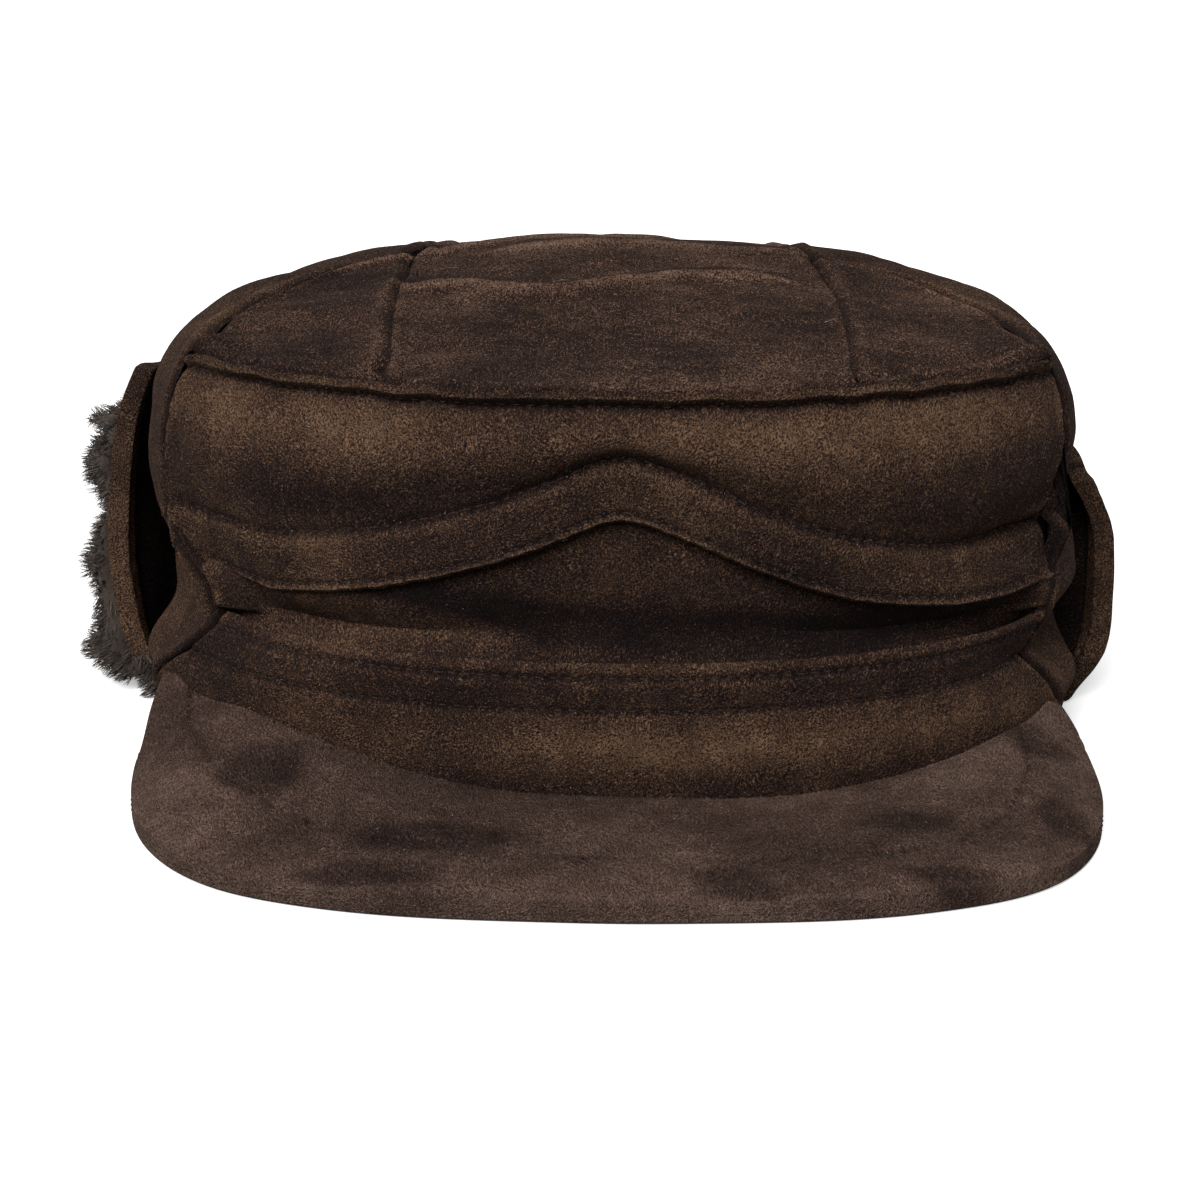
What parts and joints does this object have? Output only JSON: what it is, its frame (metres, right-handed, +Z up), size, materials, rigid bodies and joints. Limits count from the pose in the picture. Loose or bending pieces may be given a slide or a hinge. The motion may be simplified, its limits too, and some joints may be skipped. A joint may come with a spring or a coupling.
{
  "type": "leather hat",
  "caption": "Brown suede winter cap with a soft flat crown, a chevron-hemmed puffed front, a wide flat peak and a fur-lined ear flap folded up round the sides and back",
  "frame": {"origin": "the middle of the hat's footprint, on the table", "axes": "+Z up from the table, the peak points to -Y, the wearer's left is towards +X"},
  "size_m": [0.2332, 0.2744, 0.1011],
  "materials": {
    "suede": "dark brown suede, fine short nap, blotchy with worn lighter edges",
    "facing": "smooth dark brown leather, dull",
    "fur": "grey brown fur pile, soft, lighter at the tips"
  },
  "bodies": {
    "root": {"crown_top_centre": "suede", "crown_top_left": "suede", "crown_top_right": "suede", "front_yoke": "suede", "front_panel": "suede", "band_front": "suede", "side_left": "suede", "side_right": "suede", "crown_back": "suede", "peak_cover": "suede", "peak_facing": "facing", "flap_left": "suede", "flap_right": "suede", "fur_left": "fur", "fur_right": "fur"}
  },
  "joints": []
}
